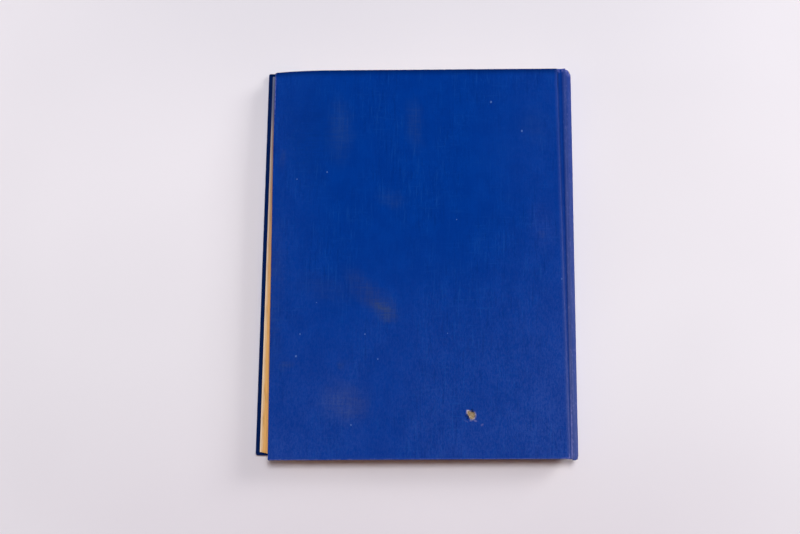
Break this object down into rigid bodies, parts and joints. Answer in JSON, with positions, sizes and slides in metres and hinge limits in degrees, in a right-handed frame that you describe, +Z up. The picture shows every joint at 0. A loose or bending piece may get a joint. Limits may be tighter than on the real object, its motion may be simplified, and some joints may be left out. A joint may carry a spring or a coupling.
{
  "type": "sticker album",
  "caption": "Cloth-bound hardback album with a rounded hollow spine, hinged covers over boards, plain pastedowns and a leaning block of leaves.",
  "frame": {"origin": "on the resting face of the front cover, under the middle of the whole album", "axes": "+X towards the spine, +Y towards the head, +Z up out of the back cover"},
  "size_m": [0.2482, 0.3137, 0.018],
  "materials": {
    "leaves": "aged uncoated paper, tan at the cut edges",
    "lining": "glued gauze and paper",
    "board": "straw-coloured binder's board",
    "spine_cloth": "faded woven book cloth",
    "endpaper": "plain aged endpaper",
    "cover_cloth": "blue woven book cloth, scuffed and stained"
  },
  "bodies": {
    "text_block": {"text_block": "leaves", "spine_lining": "lining", "spine_card": "board", "spine_cloth": "spine_cloth"},
    "front_cover": {"front_board": "board", "front_pastedown": "endpaper", "front_cover_cloth": "cover_cloth"},
    "back_cover": {"back_board": "board", "back_pastedown": "endpaper", "back_cover_cloth": "cover_cloth"}
  },
  "joints": [
    {"name": "front_cover_hinge", "type": "hinge", "parent": "text_block", "child": "front_cover", "pos_m": [0.11327, 0, 0.00175], "axis": [0, -1, 0], "range_deg": [0, 180]},
    {"name": "back_cover_hinge", "type": "hinge", "parent": "text_block", "child": "back_cover", "pos_m": [0.11889, 0, 0.0178], "axis": [0, 1, 0], "range_deg": [0, 180]}
  ]
}
